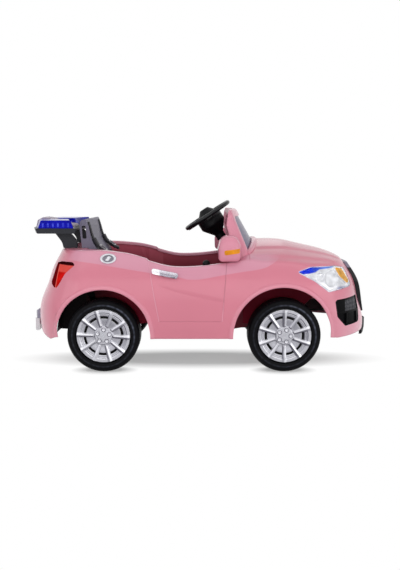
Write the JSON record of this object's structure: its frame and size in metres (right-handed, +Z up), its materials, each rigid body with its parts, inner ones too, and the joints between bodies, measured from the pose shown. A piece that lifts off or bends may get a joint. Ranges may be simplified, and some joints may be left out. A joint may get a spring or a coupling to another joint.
{
  "type": "electric ride-on car",
  "caption": "Child's electric ride-on car: one-seat open cockpit, moulded shell, linked steering, geared drive wheel and a two-lens light bar.",
  "frame": {"origin": "on the floor, under the middle of the bounding box", "axes": "+X forward, +Y to the driver's left, +Z up"},
  "size_m": [1.01, 0.5582, 0.4775],
  "materials": {
    "body_pink": "glossy moulded shell",
    "tub_rose": "fine grained moulding",
    "black_plastic": "fine grained moulding",
    "grey_plastic": "satin moulding",
    "dark_grey": "satin moulding",
    "smoked_pane": "smoked clear sheet",
    "clear_lens": "clear moulding",
    "lamp_silver": "vacuum metallised",
    "chrome_trim": "vacuum metallised",
    "hub_silver": "silver painted moulding",
    "amber_lens": "clear tinted moulding",
    "red_lens": "clear tinted moulding",
    "blue_lens": "clear tinted moulding",
    "led_white": "clear domes on a board",
    "tyre_black": "moulded lugged tread",
    "steel": "zinc plated",
    "mirror_plate": "silvered sheet",
    "nylon": "natural nylon",
    "brass": "cut teeth",
    "belt_web": "woven webbing",
    "plate_white": "bare plate"
  },
  "bodies": {
    "car": {"body_shell": "body_pink", "chassis_pan": "black_plastic", "cockpit_tub": "tub_rose", "seat_back": "grey_plastic", "seat_belts": "belt_web", "dashboard": "black_plastic", "windscreen_frame": "body_pink", "windscreen_pane": "smoked_pane", "mirror_housings": "body_pink", "mirror_glasses": "mirror_plate", "turn_lenses": "amber_lens", "headlamp_bowls": "lamp_silver", "headlamp_lenses": "clear_lens", "grille_insert": "black_plastic", "grille_surround": "dark_grey", "fog_vents": "black_plastic", "lower_guard": "black_plastic", "tail_lamps": "red_lens", "plate_hood": "grey_plastic", "rear_plate": "plate_white", "door_handles": "chrome_trim", "fuel_cap": "chrome_trim", "light_bar_base": "dark_grey", "light_bar_cover": "grey_plastic", "light_bar_lenses": "blue_lens", "light_bar_leds": "led_white", "light_bar_struts": "dark_grey", "column_bush": "nylon", "front_axle_beam": "steel", "kingpins": "steel", "rear_axle": "steel", "rear_axle_fittings": "steel", "gearbox_case": "black_plastic", "gearbox_cover": "black_plastic", "motor": "steel", "battery": "dark_grey", "pedal_base": "black_plastic", "lever_base": "black_plastic", "body_screws": "steel"},
    "steering": {"steering_wheel": "black_plastic", "steering_hub": "black_plastic", "steering_column": "steel"},
    "horn": {"horn_button": "black_plastic"},
    "tie": {"tie_rod": "steel"},
    "left_knuckle": {"knuckle_left": "steel"},
    "right_knuckle": {"knuckle_right": "steel"},
    "front_left_wheel": {"tyre_front_left": "tyre_black", "hubcap_front_left": "hub_silver"},
    "front_right_wheel": {"tyre_front_right": "tyre_black", "hubcap_front_right": "hub_silver"},
    "rear_left_wheel": {"tyre_rear_left": "tyre_black", "hubcap_rear_left": "hub_silver"},
    "rear_right_wheel": {"tyre_rear_right": "tyre_black", "hubcap_rear_right": "hub_silver", "output_gear": "nylon"},
    "idler": {"idler_gear": "nylon"},
    "rotor": {"motor_pinion": "brass"},
    "pedal": {"accelerator_pedal": "black_plastic"},
    "lever": {"gear_lever": "black_plastic"},
    "power": {"power_button": "amber_lens"}
  },
  "joints": [
    {"name": "steering_turn", "type": "hinge", "parent": "car", "child": "steering", "pos_m": [0.023, 0, 0.431], "axis": [-0.5446, 0, 0.8387], "range_deg": [-28, 28]},
    {"name": "horn_press", "type": "slide", "parent": "steering", "child": "horn", "axis": [0.5446, 0, -0.8387], "range_m": [0, 0.003], "stiffness_N_per_m": 900, "springref_m": -0.002},
    {"name": "tie_shift", "type": "slide", "parent": "car", "child": "tie", "axis": [0, 1, 0], "range_m": [-0.0145, 0.0145]},
    {"name": "left_steer", "type": "hinge", "parent": "car", "child": "left_knuckle", "pos_m": [0.236, 0.165, 0.102], "axis": [0, 0, 1], "range_deg": [-22, 22]},
    {"name": "right_steer", "type": "hinge", "parent": "car", "child": "right_knuckle", "pos_m": [0.236, -0.165, 0.102], "axis": [0, 0, 1], "range_deg": [-22, 22]},
    {"name": "front_left_spin", "type": "hinge", "parent": "left_knuckle", "child": "front_left_wheel", "pos_m": [0.236, 0.223, 0.102], "axis": [0, 1, 0], "continuous": true},
    {"name": "front_right_spin", "type": "hinge", "parent": "right_knuckle", "child": "front_right_wheel", "pos_m": [0.236, -0.223, 0.102], "axis": [0, 1, 0], "continuous": true},
    {"name": "rear_left_spin", "type": "hinge", "parent": "car", "child": "rear_left_wheel", "pos_m": [-0.27, 0.223, 0.102], "axis": [0, 1, 0], "continuous": true},
    {"name": "rear_right_spin", "type": "hinge", "parent": "car", "child": "rear_right_wheel", "pos_m": [-0.27, -0.223, 0.102], "axis": [0, 1, 0], "continuous": true},
    {"name": "idler_spin", "type": "hinge", "parent": "car", "child": "idler", "pos_m": [-0.231, -0.165, 0.102], "axis": [0, 1, 0], "continuous": true},
    {"name": "rotor_spin", "type": "hinge", "parent": "car", "child": "rotor", "pos_m": [-0.1965, -0.15, 0.102], "axis": [0, 1, 0], "continuous": true},
    {"name": "pedal_press", "type": "hinge", "parent": "car", "child": "pedal", "pos_m": [0.052, -0.062, 0.1205], "axis": [0, 1, 0], "range_deg": [0, 13], "stiffness_Nm_per_rad": 1, "springref_deg": -14.32},
    {"name": "lever_swing", "type": "hinge", "parent": "car", "child": "lever", "pos_m": [0.018, -0.198, 0.257], "axis": [0, 1, 0], "range_deg": [-14, 14]},
    {"name": "power_press", "type": "slide", "parent": "car", "child": "power", "axis": [1, 0, 0], "range_m": [0, 0.003], "stiffness_N_per_m": 700, "springref_m": -0.002}
  ],
  "couplings": [
    {"joint": "left_steer", "follows": "steering_turn", "ratio": 0.7766},
    {"joint": "right_steer", "follows": "steering_turn", "ratio": 0.7766},
    {"joint": "tie_shift", "follows": "steering_turn", "m_per_rad": -0.02881},
    {"joint": "idler_spin", "follows": "rear_right_spin", "ratio": -3.3333},
    {"joint": "rotor_spin", "follows": "rear_right_spin", "ratio": 12}
  ]
}
